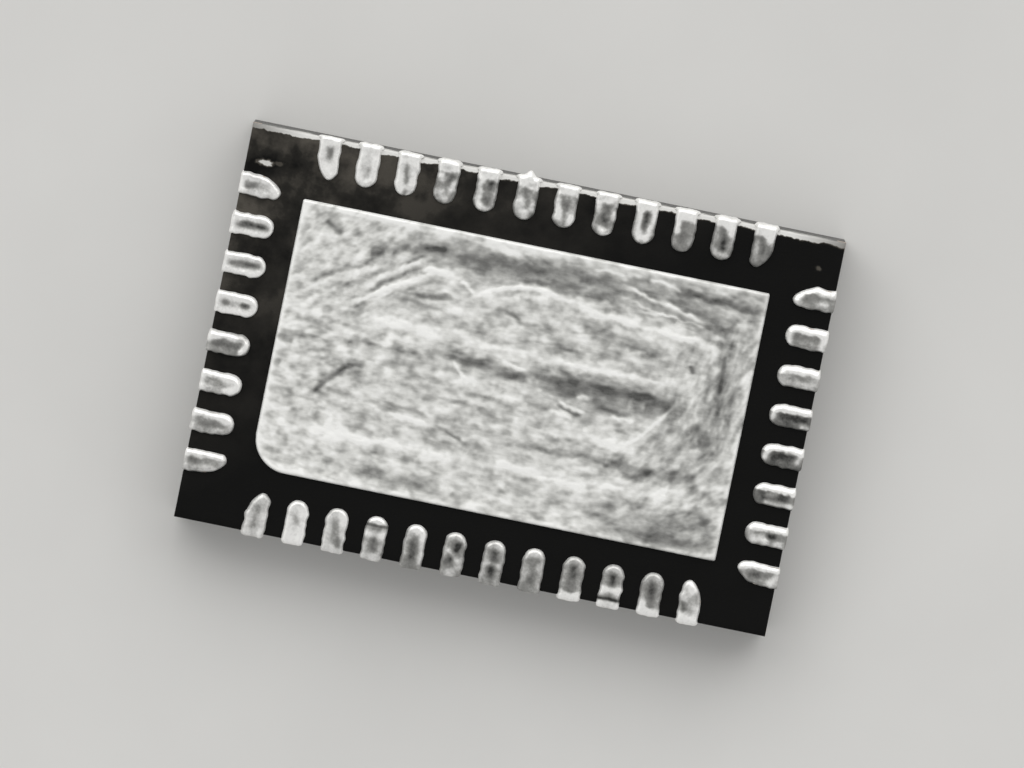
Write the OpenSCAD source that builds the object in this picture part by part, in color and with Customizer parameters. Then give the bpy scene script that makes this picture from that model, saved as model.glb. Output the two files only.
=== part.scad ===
// Quad flat no-lead integrated circuit, lying on its marked face with the solder lands up.
// Millimetres. The origin is the middle of the marked face, +X runs along the long sides
// and +Z points up to the lands. Pin 1 is at the -X -Y corner.

/* [Package] */
// Length of the moulded body along X
body_length = 6; // [5.6:0.05:9]
// Width of the moulded body along Y
body_width = 4; // [3.7:0.05:7]
// Height from the marked face to the solder lands
package_height = 0.75; // [0.7:0.01:1.2]
// How far the lands stand proud of the moulding
standoff = 0.02; // [0.005:0.005:0.05]

/* [Leads] */
// Number of leads on each long side
long_side_leads = 12; // [2:1:12]
// Number of leads on each short side
short_side_leads = 8; // [2:1:8]
// Distance from one lead to the next
lead_pitch = 0.4; // [0.3:0.01:0.42]
// Width of a lead
lead_width = 0.2; // [0.15:0.01:0.24]
// Length of the land that shows on the solder side
lead_length = 0.4; // [0.3:0.01:0.5]
// How far the half-etched tip runs on inwards from the land, under the moulding
lead_lip = 0.05; // [0.02:0.01:0.08]
// Slant cut of the leads next to a corner, along the lead
corner_cut_length = 0.18; // [0.1:0.01:0.25]
// Slant cut of the leads next to a corner, across the lead
corner_cut_width = 0.12; // [0.05:0.01:0.14]

/* [Die paddle] */
// Thickness of the copper strip that the paddle and the leads are etched from
frame_thickness = 0.2; // [0.15:0.01:0.25]
// Depth of the half etch, from the solder side
etch_depth = 0.1; // [0.06:0.01:0.12]
// Gap on the solder side between the lands and the exposed pad
paddle_gap = 0.25; // [0.2:0.01:0.5]
// Radius of the exposed pad's pin-1 corner
index_radius = 0.35; // [0.15:0.01:0.6]
// How far the half-etched rim runs out from the exposed pad, under the moulding
paddle_lip = 0.08; // [0.03:0.01:0.1]
// Width of the four tie bars from the paddle to the corners
tie_bar_width = 0.12; // [0.08:0.01:0.16]
// Least gap between a tie bar and a lead
tie_bar_clearance = 0.04; // [0.02:0.01:0.06]

/* [Die] */
// Length of the silicon die along X
die_length = 3; // [2:0.05:3.6]
// Width of the silicon die along Y
die_width = 1.8; // [1.2:0.05:2]
// Thickness of the silicon die
die_thickness = 0.18; // [0.1:0.01:0.24]
// Thickness of the adhesive bed between the die and the paddle
attach_thickness = 0.02; // [0.01:0.005:0.04]
// How far the adhesive bleeds out past the die
attach_bleed = 0.08; // [0.02:0.01:0.12]

/* [Bond wires] */
// Diameter of the wire
wire_diameter = 0.025; // [0.018:0.001:0.038]
// Bend radius of the loop above the die
loop_radius = 0.1; // [0.06:0.005:0.12]
// Straight length of wire between the die and the bend
loop_neck = 0.03; // [0.02:0.005:0.04]
// Diameter of the ball bond on the die
ball_diameter = 0.06; // [0.045:0.001:0.08]
// Height of the ball bond
ball_height = 0.015; // [0.01:0.001:0.018]
// Distance of the ball bonds from the die's edge
ball_inset = 0.08; // [0.06:0.01:0.15]
// Distance of the outermost ball bonds from the die's corner
ball_corner_inset = 0.2; // [0.15:0.01:0.4]
// Diameter of the flattened stitch on the lead
stitch_diameter = 0.05; // [0.04:0.001:0.06]
// Height of the flattened stitch
stitch_height = 0.01; // [0.006:0.001:0.014]
// Distance of the stitch from the lead's inner tip
stitch_inset = 0.14; // [0.1:0.01:0.2]

/* [Pin-1 dot] */
// Diameter of the dot in the marked face
dot_diameter = 0.4; // [0.25:0.01:0.6]
// Depth of the dot
dot_depth = 0.02; // [0.01:0.005:0.05]
// Distance of the dot's middle from the two edges at pin 1
dot_inset = 0.6; // [0.4:0.01:1]

/* [Hidden] */
$fn = 48;
// How far a cutter runs past the face that it opens
over = 0.1;

SIDES = ["west", "north", "east", "south"];
side_leads = [short_side_leads, long_side_leads, short_side_leads, long_side_leads];
body_half = [body_length / 2, body_width / 2, body_length / 2, body_width / 2];
die_half = [die_length / 2, die_width / 2, die_length / 2, die_width / 2];
lead_count = 2 * (long_side_leads + short_side_leads);

paddle_length = body_length - 2 * (lead_length + paddle_gap);
paddle_width = body_width - 2 * (lead_length + paddle_gap);
etched_thickness = frame_thickness - etch_depth;
lead_tip = lead_length + lead_lip;

// Heights above the marked face
mould_z = package_height - standoff;
frame_z = package_height - frame_thickness;
attach_z = frame_z - attach_thickness;
die_z = attach_z - die_thickness;

// First lead on a side, counted from 0 round the package
function side_start(side) = side == 0 ? 0 : side_start(side - 1) + side_leads[side - 1];
// Side of the package that a lead is on, counted from 0 like the lead
function side_of(lead, side = 3) = lead >= side_start(side) ? side : side_of(lead, side - 1);
// Place of one of a row of items along its side, seen from the side's middle
function along(item, count, pitch) = (item - (count - 1) / 2) * pitch;
// Distance between the ball bonds along a side of the die
function ball_pitch(side) =
    2 * (die_half[(side + 1) % 4] - ball_corner_inset) / (side_leads[side] - 1);
// Slant cut of a lead: -1 or 1 for the side that faces a corner, 0 for none
function corner_side(item, count) = item == 0 ? -1 : item == count - 1 ? 1 : 0;
function lead_name(lead) = str("lead_", lead < 9 ? "0" : "", lead + 1);

LEADS = [for (lead = [0:lead_count - 1]) lead_name(lead)];
WIRES = [for (side = SIDES) str("bond_wires_", side)];

// Turns a side so that its own +X points inwards and its own +Y on to the next lead
module on_side(side) {
    rotate([0, 0, -90 * side]) children();
}

// Outline of a lead from its sawn end, which lies at 0, to a round inner tip
module lead_outline(tip, past_edge, cut_side) {
    half = lead_width / 2;
    difference() {
        union() {
            translate([-past_edge, -half]) square([past_edge + tip - half, lead_width]);
            translate([tip - half, 0]) circle(r = half);
        }
        if (cut_side != 0) {
            polygon([
                [tip - 2 * corner_cut_length, cut_side * (half + corner_cut_width)],
                [tip + corner_cut_length, cut_side * (half - 2 * corner_cut_width)],
                [tip + corner_cut_length, cut_side * (half + corner_cut_width)]
            ]);
        }
    }
}

// Bar from the paddle to one corner of the body, in plan
module tie_bar_outline(corner, width, past_edge) {
    run = [body_length - paddle_length, body_width - paddle_width] / 2;
    direction = run / norm(run);
    root = [paddle_length, paddle_width] / 2 - direction * index_radius;
    translate([corner.x * root.x, corner.y * root.y])
        rotate(atan2(corner.y * run.y, corner.x * run.x))
            translate([0, -width / 2])
                square([index_radius + norm(run) + past_edge, width]);
}

module tie_bar_outlines(width, past_edge) {
    for (x = [-1, 1], y = [-1, 1]) tie_bar_outline([x, y], width, past_edge);
}

// Exposed pad in plan, with its round pin-1 corner, or the rim that runs out past it
module paddle_outline(rim) {
    radius = index_radius + rim;
    size = [paddle_length, paddle_width] + 2 * [rim, rim];
    difference() {
        square(size, center = true);
        translate(-size / 2) difference() {
            translate([-over, -over]) square(radius + over);
            translate([radius, radius]) circle(r = radius);
        }
    }
}

module lead(number, past_edge = 0) {
    side = side_of(number);
    item = number - side_start(side);
    cut_side = corner_side(item, side_leads[side]);
    difference() {
        on_side(side) translate([-body_half[side], along(item, side_leads[side], lead_pitch), frame_z]) {
            linear_extrude(frame_thickness) lead_outline(lead_length, past_edge, cut_side);
            linear_extrude(etched_thickness) lead_outline(lead_tip, past_edge, cut_side);
        }
        if (cut_side != 0) {
            translate([0, 0, frame_z - over]) linear_extrude(frame_thickness + 2 * over)
                tie_bar_outlines(tie_bar_width + 2 * tie_bar_clearance, over);
        }
    }
}

module paddle_solid(past_edge = 0) {
    translate([0, 0, frame_z]) {
        linear_extrude(frame_thickness) paddle_outline(0);
        linear_extrude(etched_thickness) paddle_outline(paddle_lip);
        linear_extrude(etched_thickness) tie_bar_outlines(tie_bar_width, past_edge);
    }
}

// One wire from its ball at the origin on the die, looping down and over to a stitch
// at a distance along +X on the leads' face
module bond_wire(reach) {
    radius = wire_diameter / 2;
    // the stitch, seen from the middle of the bend
    across = reach - loop_radius;
    below = die_z - frame_z - loop_neck;
    span = sqrt(across * across + below * below - loop_radius * loop_radius);
    // to a hundredth of a degree, so that the bend and the straight span share one end face
    bend = round(100 * atan2(across * span + below * loop_radius, below * span - across * loop_radius)) / 100;
    translate([0, 0, -ball_height]) cylinder(d = ball_diameter, h = ball_height);
    translate([0, 0, -loop_neck]) cylinder(r = radius, h = loop_neck);
    translate([loop_radius, 0, -loop_neck]) {
        rotate([90, 0, 0]) rotate([0, 0, 180]) rotate_extrude(angle = bend)
            translate([loop_radius, 0]) circle(r = radius);
        translate([-loop_radius * cos(bend), 0, -loop_radius * sin(bend)])
            rotate([0, 180 - bend, 0]) cylinder(r = radius, h = span + wire_diameter);
    }
    translate([reach, 0, frame_z - die_z - stitch_height])
        cylinder(d = stitch_diameter, h = stitch_height);
}

module bond_wire_row(side) {
    count = side_leads[side];
    difference() {
        for (item = [0:count - 1]) {
            ball = [ball_inset - die_half[side], along(item, count, ball_pitch(side))];
            stitch = [lead_tip - stitch_inset - body_half[side], along(item, count, lead_pitch)];
            reach = stitch - ball;
            on_side(side) translate([ball.x, ball.y, die_z])
                rotate([0, 0, atan2(reach.y, reach.x)]) bond_wire(norm(reach));
        }
        translate([-body_length / 2, -body_width / 2, frame_z])
            cube([body_length, body_width, frame_thickness]);
    }
}

module die_solid() {
    translate([-die_length / 2, -die_width / 2, die_z]) cube([die_length, die_width, die_thickness]);
}

module attach_solid() {
    size = [die_length, die_width] + 2 * [attach_bleed, attach_bleed];
    translate([0, 0, attach_z]) linear_extrude(attach_thickness) square(size, center = true);
}

module mould_body() {
    color([0.07, 0.07, 0.07]) difference() {
        translate([-body_length / 2, -body_width / 2, 0]) cube([body_length, body_width, mould_z]);
        paddle_solid(over);
        for (number = [0:lead_count - 1]) lead(number, over);
        attach_solid();
        die_solid();
        for (side = [0:3]) bond_wire_row(side);
        translate([dot_inset - body_length / 2, dot_inset - body_width / 2, -over])
            cylinder(d = dot_diameter, h = dot_depth + over);
    }
}

module die_paddle() {
    color([0.72, 0.73, 0.7]) intersection() {
        paddle_solid(over);
        translate([-body_length / 2, -body_width / 2, 0])
            cube([body_length, body_width, package_height + over]);
    }
}

module die_attach() {
    color([0.6, 0.6, 0.58]) attach_solid();
}

module die() {
    color([0.3, 0.32, 0.36]) die_solid();
}

module bond_wires(side) {
    color([0.85, 0.65, 0.25]) bond_wire_row(side);
}

module solder_lead(number) {
    color([0.75, 0.75, 0.72]) lead(number);
}

mould_body();
die_paddle();
die_attach();
die();
for (side = [0:3]) {
    bond_wires(side);
}
for (number = [0:lead_count - 1]) {
    solder_lead(number);
}
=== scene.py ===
import math
import random
import bpy
from mathutils import Matrix, Vector, noise


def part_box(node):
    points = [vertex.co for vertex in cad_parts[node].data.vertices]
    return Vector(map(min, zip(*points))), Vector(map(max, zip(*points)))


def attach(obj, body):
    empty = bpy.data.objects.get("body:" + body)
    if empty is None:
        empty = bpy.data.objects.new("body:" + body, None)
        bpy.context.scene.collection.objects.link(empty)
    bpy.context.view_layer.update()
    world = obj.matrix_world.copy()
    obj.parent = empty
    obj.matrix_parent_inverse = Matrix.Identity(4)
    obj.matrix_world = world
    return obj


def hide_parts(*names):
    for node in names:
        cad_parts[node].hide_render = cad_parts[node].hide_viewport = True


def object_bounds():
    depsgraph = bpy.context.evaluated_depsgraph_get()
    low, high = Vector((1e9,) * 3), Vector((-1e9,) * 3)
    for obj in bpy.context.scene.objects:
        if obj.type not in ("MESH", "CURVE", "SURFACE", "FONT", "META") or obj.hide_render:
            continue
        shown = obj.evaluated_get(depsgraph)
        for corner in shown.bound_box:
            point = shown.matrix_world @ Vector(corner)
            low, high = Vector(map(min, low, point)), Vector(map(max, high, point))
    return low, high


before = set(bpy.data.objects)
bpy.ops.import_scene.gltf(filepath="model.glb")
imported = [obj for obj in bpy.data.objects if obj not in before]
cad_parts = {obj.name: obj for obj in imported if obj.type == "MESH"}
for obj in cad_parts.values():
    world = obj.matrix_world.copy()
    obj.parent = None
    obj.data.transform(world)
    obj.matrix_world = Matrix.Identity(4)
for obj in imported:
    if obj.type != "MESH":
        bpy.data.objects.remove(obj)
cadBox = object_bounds()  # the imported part's own box
mm = 0.001
print("frame loaded,", len(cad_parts), "CAD nodes")

# Camera: straight above a point just beyond the far long side, as the photograph was taken
cameraView = {
    "imageWidth": 1024,
    "photoPixelsPerMm": 25.2,
    "closer": 4.0,  # framed this many times closer than the photograph
    "turn": math.radians(11.5),  # the long side runs down to the right
    "leanUp": math.radians(4.2),  # the camera stands over the top of the picture
    "leanRight": math.radians(0.5),
    "distance": 100 * mm,
    "aim": (0.025 * mm, -0.036 * mm),  # the picture's middle, right and up from the part's own
    "sensor": 36.0,
    "clip": (0.5 * mm, 1000 * mm),
}


def imageAxes():
    turn = cameraView["turn"]
    right = Vector((math.cos(turn), math.sin(turn), 0))
    up = Vector((-math.sin(turn), math.cos(turn), 0))
    return right, up


def stand(holder, place, right, up, back):  # a camera or a lamp, which looks away from back
    bpy.context.scene.collection.objects.link(holder)
    axes = Matrix((right, up, back)).transposed().to_4x4()
    holder.matrix_world = Matrix.Translation(place) @ axes


def addCamera():
    right, up = imageAxes()
    back = Vector((0, 0, 1))
    back += up * math.tan(cameraView["leanUp"]) + right * math.tan(cameraView["leanRight"])
    back.normalize()
    side = up.cross(back).normalized()
    top = back.cross(side)
    aimRight, aimUp = cameraView["aim"]
    seat = Vector((0, 0, cadBox[1].z)) + right * aimRight + up * aimUp
    shownWidth = cameraView["imageWidth"] / cameraView["photoPixelsPerMm"] / cameraView["closer"] * mm
    lens = bpy.data.cameras.new("camera")
    lens.sensor_width = cameraView["sensor"]
    lens.lens = cameraView["sensor"] * cameraView["distance"] / shownWidth
    lens.clip_start, lens.clip_end = cameraView["clip"]
    camera = bpy.data.objects.new("camera", lens)
    stand(camera, seat + back * cameraView["distance"], side, top, back)
    bpy.context.scene.camera = camera


addCamera()
bpy.context.scene.view_settings.view_transform = "Standard"
print("camera placed")


# Small helpers that every piece uses

def clearSelection():
    if bpy.context.mode != "OBJECT":
        bpy.ops.object.mode_set(mode="OBJECT")
    bpy.ops.object.select_all(action="DESELECT")


def pick(piece):
    clearSelection()
    piece.select_set(True)
    bpy.context.view_layer.objects.active = piece


def newGrid(name, columns, rows):
    clearSelection()
    bpy.ops.mesh.primitive_grid_add(x_subdivisions=columns, y_subdivisions=rows, size=2)
    piece = bpy.context.active_object
    piece.name = name
    piece.data.name = name
    return piece


def selectRim(piece):
    pick(piece)
    bpy.ops.object.mode_set(mode="EDIT")
    bpy.ops.mesh.select_mode(type="EDGE")
    bpy.ops.mesh.select_all(action="DESELECT")
    bpy.ops.mesh.select_non_manifold()


def applyModifier(piece, kind, **settings):
    pick(piece)
    modifier = piece.modifiers.new(kind.lower(), kind)
    for key, value in settings.items():
        setattr(modifier, key, value)
    bpy.ops.object.modifier_apply(modifier=modifier.name)


def outward(piece):
    pick(piece)
    bpy.ops.object.mode_set(mode="EDIT")
    bpy.ops.mesh.select_all(action="SELECT")
    bpy.ops.mesh.normals_make_consistent(inside=False)
    bpy.ops.object.mode_set(mode="OBJECT")


def toMetres(piece):  # pieces are modelled in millimetres
    pick(piece)
    piece.scale = (mm, mm, mm)
    bpy.ops.object.transform_apply(location=True, rotation=True, scale=True)


def keepTones(piece, tones):  # on the piece's own vertices, for its material
    mark = piece.data.attributes.new("tone", "FLOAT", "POINT")
    mark.data.foreach_set("value", tones)


def finishPiece(piece, slotName, smoothAngle, *materials):
    outward(piece)
    toMetres(piece)
    bpy.ops.object.shade_smooth_by_angle(angle=math.radians(smoothAngle))
    for material in materials:
        piece.data.materials.append(material)
    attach(piece, "root")


def boxInMm(node):
    low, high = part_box(node)
    return low / mm, high / mm


def clamp(value, low=0.0, high=1.0):
    return max(low, min(high, value))


def mix(first, second, share):
    return first + (second - first) * share


def smoothStep(value, low, high):
    share = clamp((value - low) / (high - low))
    return share * share * (3 - 2 * share)


def noiseAt(place, scale, *detail, drift=Vector()):  # fractal noise where its detail is given
    spot = drift + Vector([p * s for p, s in zip(place, scale)])
    return noise.fractal(spot, *detail) if detail else noise.noise(spot)


def shoulder(depth, width):  # quarter of an ellipse, from 0 at the rim to 1 inside it
    share = clamp(depth / width)
    return math.sqrt(1 - (1 - share) ** 2)


strokeFade = (-0.1, 0.15)  # the ends of a stroke fade between these shares of its length


def strokeShare(x, y, start, end, bow, half):  # 1 on a bowed line, fading across it and at its ends
    alongX, alongY = end[0] - start[0], end[1] - start[1]
    length = math.hypot(alongX, alongY)
    share = ((x - start[0]) * alongX + (y - start[1]) * alongY) / length ** 2
    if share < strokeFade[0] or share > 1 - strokeFade[0]:
        return 0.0
    offset = ((y - start[1]) * alongX - (x - start[0]) * alongY) / length
    offset -= bow * 4 * share * (1 - share)
    fade = smoothStep(share, *strokeFade) * smoothStep(1 - share, *strokeFade)
    return math.exp(-(offset / half) ** 2) * fade


def dabShare(x, y, start, end, half):  # 1 on the line from start to end, fading all round it
    alongX, alongY = end[0] - start[0], end[1] - start[1]
    share = ((x - start[0]) * alongX + (y - start[1]) * alongY) / (alongX ** 2 + alongY ** 2)
    share = clamp(share)
    offset = math.hypot(x - start[0] - share * alongX, y - start[1] - share * alongY)
    return math.exp(-(offset / half) ** 2)


# Materials, all on Object coordinates turned into millimetres

def newMaterial(name):
    material = bpy.data.materials.new(name)
    material.use_nodes = True
    return material, material.node_tree.nodes["Principled BSDF"]


def addNode(material, kind, inputs=None, **settings):
    made = material.node_tree.nodes.new(kind)
    for key, value in settings.items():
        setattr(made, key, value)
    for key, value in (inputs or {}).items():
        made.inputs[key].default_value = value
    return made


def wire(material, source, target):
    material.node_tree.links.new(source, target)


def millimetres(material, stretch=(1, 1, 1), centre=(0, 0, 0)):
    coordinates = addNode(material, "ShaderNodeTexCoord")
    mapping = addNode(material, "ShaderNodeMapping", {
        "Location": Vector([-c * s for c, s in zip(centre, stretch)]),
        "Scale": [s / mm for s in stretch],
    })
    wire(material, coordinates.outputs["Object"], mapping.inputs["Vector"])
    return mapping.outputs["Vector"]


def split(material, vector):
    made = addNode(material, "ShaderNodeSeparateXYZ")
    wire(material, vector, made.inputs["Vector"])
    return made.outputs


def speckle(material, vector, scale, detail, rough=0.5, twist=0.0):
    made = addNode(material, "ShaderNodeTexNoise", {
        "Scale": scale, "Detail": detail, "Roughness": rough, "Distortion": twist})
    wire(material, vector, made.inputs["Vector"])
    return made.outputs["Fac"]


def levels(material, value, fromLow, fromHigh, toLow, toHigh):
    made = addNode(material, "ShaderNodeMapRange", {
        "From Min": fromLow, "From Max": fromHigh, "To Min": toLow, "To Max": toHigh})
    wire(material, value, made.inputs["Value"])
    return made.outputs["Result"]


def combine(material, operation, first, second=0.0):
    made = addNode(material, "ShaderNodeMath", operation=operation)
    for socket, value in zip(made.inputs, (first, second)):
        if isinstance(value, float):
            socket.default_value = value
        else:
            wire(material, value, socket)
    return made.outputs["Value"]


def tint(material, share, stops):  # stops are (place, colour) pairs
    made = addNode(material, "ShaderNodeValToRGB")
    elements = made.color_ramp.elements
    while len(elements) < len(stops):
        elements.new(0.5)
    for element, (place, colour) in zip(elements, stops):
        element.position = place
        element.color = (*colour, 1)
    wire(material, share, made.inputs["Fac"])
    return made.outputs["Color"]


def relief(material, shader, height, depth, after=None):  # depth in millimetres
    made = addNode(material, "ShaderNodeBump", {"Distance": depth * mm})
    wire(material, height, made.inputs["Height"])
    if after:
        wire(material, after, made.inputs["Normal"])
    wire(material, made.outputs["Normal"], shader.inputs["Normal"])
    return made.outputs["Normal"]


def readTones(material):  # those that the piece keeps on its own vertices
    return addNode(material, "ShaderNodeAttribute", attribute_name="tone").outputs["Fac"]


# Finishes: a noise is stretch, scale, detail, roughness and twist, a range goes from low, high to low, high
even = (1, 1, 1)
finishLooks = {
    "paleFloor": {
        "noises": {"mottle": (even, 0.35, 4)},
        "colours": ((0.35, (0.672, 0.6672, 0.6528)), (0.65, (0.70, 0.695, 0.68))),
        "roughness": 0.85,
        "specular": 0.2,
    },
    "mouldedEpoxy": {  # black filled epoxy as it left the mould, paler towards one corner, with solder flecks and a painted highlight along the north edge
        "noises": {"cloud": (even, 1.6, 5, 0.6), "grain": (even, 60, 2, 0.6)},
        "colours": (
            (0.0, (0.0036, 0.0036, 0.0034)), (0.25, (0.020, 0.0185, 0.016)),
            (0.6, (0.085, 0.077, 0.065)), (1.0, (0.75, 0.745, 0.725))),
        "roughness": ("cloud", 0.3, 0.7, 0.42, 0.56),
        "specular": 0.10,
        "reliefs": {"grain": 0.003},
    },
    "sawnEpoxy": {  # the same epoxy where the saw went through it, with painted light on the north side, which faces the window lamp
        "noises": {"strokes": ((0.6, 0.6, 40), 1.0, 4, 0.6, 0.3), "filler": (even, 45, 2, 0.7)},
        "colours": (
            (0.10, (0.055, 0.055, 0.053)), (0.26, (0.125, 0.124, 0.12)),
            (0.45, (0.26, 0.257, 0.25)), (0.80, (0.66, 0.65, 0.63))),
        "roughness": 0.7,
        "specular": 0.3,
        "reliefs": {"sawn": 0.006},
    },
    "tinnedCopper": {  # copper, smeared with tin by the saw
        "noises": {"smear": ((1, 1, 9), 3.0, 4, 0.6), "strokes": ((0.8, 0.8, 60), 1.0, 3, 0.6)},
        "colours": (
            (0.38, (0.50, 0.27, 0.17)), (0.52, (0.62, 0.55, 0.48)), (0.62, (0.70, 0.69, 0.66))),
        "metallic": 1.0,
        "roughness": ("strokes", 0.3, 0.7, 0.3, 0.5),
        "reliefs": {"strokes": 0.003},
    },
    "leadSolder": {  # solder that set again in a bead on each land; its tones are partly painted highlight
        "noises": {"grain": (even, 40, 3, 0.6)},
        "tones": {"grain": (0.3, 0.7, -0.07, 0.07)},
        "colours": (
            (0.0, (0.035, 0.035, 0.033)), (0.5, (0.31, 0.308, 0.295)), (1.0, (0.97, 0.965, 0.945))),
        "metallic": 0.35,
        "roughness": ("shade", 0.0, 1.0, 0.42, 0.30),
        "specular": 0.3,
        "reliefs": {"grain": 0.0012},
    },
    "wipedSolder": {  # solder wiped thin across the pad
        "noises": {"strokes": ((6, 22, 1), 1.0, 3, 0.55, 0.5), "grain": (even, 24, 3, 0.55)},
        "tones": {"strokes": (0.3, 0.7, -0.05, 0.05), "grain": (0.3, 0.7, -0.035, 0.035)},
        "colours": (
            (0.0, (0.08, 0.08, 0.077)), (0.25, (0.24, 0.24, 0.231)),
            (0.5, (0.47, 0.47, 0.452)), (0.75, (0.74, 0.74, 0.715)), (1.0, (0.97, 0.97, 0.95))),
        "metallic": 0.25,
        "roughness": ("shade", 0.1, 0.9, 0.68, 0.52),
        "specular": 0.2,
        "reliefs": {"strokes": 0.0015, "grain": 0.0008},
    },
    "silicon": {
        "noises": {"film": (even, 4, 2)},
        "colours": ((0.4, (0.16, 0.17, 0.20)), (0.6, (0.22, 0.23, 0.27))),
        "metallic": 0.6,
        "roughness": 0.18,
    },
    "silverAdhesive": {
        "noises": {"flake": (even, 60, 3)},
        "colours": ((0.4, (0.42, 0.42, 0.41)), (0.6, (0.58, 0.58, 0.57))),
        "metallic": 0.5,
        "roughness": 0.55,
    },
    "goldWire": {
        "noises": {"drawn": (even, 30, 2)},
        "colours": ((0.4, (0.88, 0.62, 0.24)), (0.6, (0.95, 0.70, 0.30))),
        "metallic": 1.0,
        "roughness": 0.22,
    },
}
shaderSockets = {"metallic": "Metallic", "roughness": "Roughness", "specular": "Specular IOR Level"}


def makeFinish(name, shadeOf=None):  # without a shade of its own a finish is shaded by its first noise
    look = finishLooks[name]
    material, shader = newMaterial(name)
    layers = {}
    for key, (stretch, *settings) in look["noises"].items():
        layers[key] = speckle(material, millimetres(material, stretch), *settings)
    firstNoise = next(iter(layers.values()))
    layers["shade"] = shadeOf(material, layers, look) if shadeOf else firstNoise
    wire(material, tint(material, layers["shade"], look["colours"]), shader.inputs["Base Color"])
    for key, socket in shaderSockets.items():
        value = look.get(key)
        if isinstance(value, tuple):
            layer, *span = value
            wire(material, levels(material, layers[layer], *span), shader.inputs[socket])
        elif value is not None:
            shader.inputs[socket].default_value = value
    normal = None
    for layer, depth in look.get("reliefs", {}).items():
        normal = relief(material, shader, layers[layer], depth, normal)
    return material


# Floor, world and lamp
studio = {
    "floorSize": 1600 * mm,
    "sky": (  # height and colour, from where the floor ends up to the zenith
        (0.0, (0.65, 0.648, 0.63)), (0.05, (0.56, 0.56, 0.555)),
        (0.55, (0.73, 0.73, 0.725)), (0.97, (0.33, 0.33, 0.33))),
    "windowElevation": math.radians(42),
    "windowDistance": 4250 * mm,
    "windowSize": (8000 * mm, 4500 * mm),
    "windowPower": 165,
    "windowColour": (1.0, 0.995, 0.98),
}


def addFloor():
    clearSelection()
    bpy.ops.mesh.primitive_plane_add(size=studio["floorSize"])
    floor = bpy.context.active_object
    floor.name = "floor"
    floor.data.materials.append(makeFinish("paleFloor"))


def addWorld():
    world = bpy.data.worlds.new("studio")
    bpy.context.scene.world = world
    world.use_nodes = True
    background = world.node_tree.nodes["Background"]
    place = addNode(world, "ShaderNodeTexCoord")
    height = split(world, place.outputs["Generated"])["Z"]
    wire(world, tint(world, height, studio["sky"]), background.inputs["Color"])


def addWindowLamp():
    right, up = imageAxes()
    rise = studio["windowElevation"]
    away = up * math.cos(rise) + Vector((0, 0, math.sin(rise)))
    lamp = bpy.data.lights.new("window", "AREA")
    lamp.shape = "RECTANGLE"
    lamp.size, lamp.size_y = studio["windowSize"]
    lamp.energy = studio["windowPower"]
    lamp.color = studio["windowColour"]
    holder = bpy.data.objects.new("window", lamp)
    stand(holder, away * studio["windowDistance"], right, away.cross(right).normalized(), away)


addFloor()
addWorld()
addWindowLamp()
print("floor, world and lamp set")

# Pale marks on the moulding: solder flecks, a paling towards one corner, a painted highlight along the
# north edge and painted light on the north side, which face the window lamp: ranges of place in
# millimetres, and of strength
flecksAndPaintedLight = {
    "slope": (-0.6, 0.8, 1),  # grows towards the corner where leads 8 and 9 meet
    "slopePaling": (0.3, 2.8, 0.0, 0.58),
    "cloudPaling": (0.32, 0.58, 0.0, 1.0),
    "ragged": (5.0, 4, 0.65),
    "raggedStretch": (1, 1, 2),
    "stripWaver": (0.3, 0.7, -0.02, 0.02),
    "stripEdge": (1.938, 1.958, 0.0, 1.0),
    "stripEnds": (3.0, 2.45, 0.70, 1.0),
    "stripHeight": (0.5, 0.6, 0.0, 1.0),
    "sideLightWaver": (0.3, 0.7, -0.25, 0.15),
    "sideLightHeight": (0.42, 0.60, 0.0, 1.0),
    "sideLightNorth": (1.90, 1.95, 0.0, 1.0),
    "sideLightEnds": (3.0, 2.4, 0.20, 0.58),
    "fleckRagged": (25, 2),
    "fleckWaver": (0.3, 0.7, -0.2, 0.2),
    "fleckEdge": (1.0, 0.5, 0.0),  # up to the fleck's own strength
}
mouldFlecks = [  # solder and flux that stuck to the solder face: place, reach and strength
    ((-2.80, 1.635, 0.73), (0.115, 0.046, 0.05), 0.92),
    ((-2.66, 1.65, 0.73), (0.070, 0.030, 0.05), 0.45),
    ((2.78, 1.70, 0.73), (0.040, 0.030, 0.05), 0.55),
]


def fleck(material, centre, reach, strength):  # a small patch around one place
    place = millimetres(material, [1 / r for r in reach], centre)
    length = addNode(material, "ShaderNodeVectorMath", operation="LENGTH")
    wire(material, place, length.inputs[0])
    ragged = speckle(material, millimetres(material), *flecksAndPaintedLight["fleckRagged"])
    waver = levels(material, ragged, *flecksAndPaintedLight["fleckWaver"])
    spread = combine(material, "ADD", length.outputs["Value"], waver)
    return levels(material, spread, *flecksAndPaintedLight["fleckEdge"], strength)


def northEdgePlaces(material):  # what the painted highlight and painted light on the side of leads 9 to 20 are measured by
    sides = split(material, millimetres(material))
    ragged = speckle(material, millimetres(material, flecksAndPaintedLight["raggedStretch"]), *flecksAndPaintedLight["ragged"])
    fromMiddle = combine(material, "ABSOLUTE", sides["X"])
    return sides, ragged, fromMiddle


def northEdgeHighlight(material):  # painted highlight along the north edge of the solder face, which faces the window lamp
    sides, ragged, fromMiddle = northEdgePlaces(material)
    reach = combine(material, "ADD", sides["Y"], levels(material, ragged, *flecksAndPaintedLight["stripWaver"]))
    strip = levels(material, reach, *flecksAndPaintedLight["stripEdge"])
    strip = combine(material, "MULTIPLY", strip, levels(material, fromMiddle, *flecksAndPaintedLight["stripEnds"]))
    return combine(material, "MULTIPLY", strip, levels(material, sides["Z"], *flecksAndPaintedLight["stripHeight"]))


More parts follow.
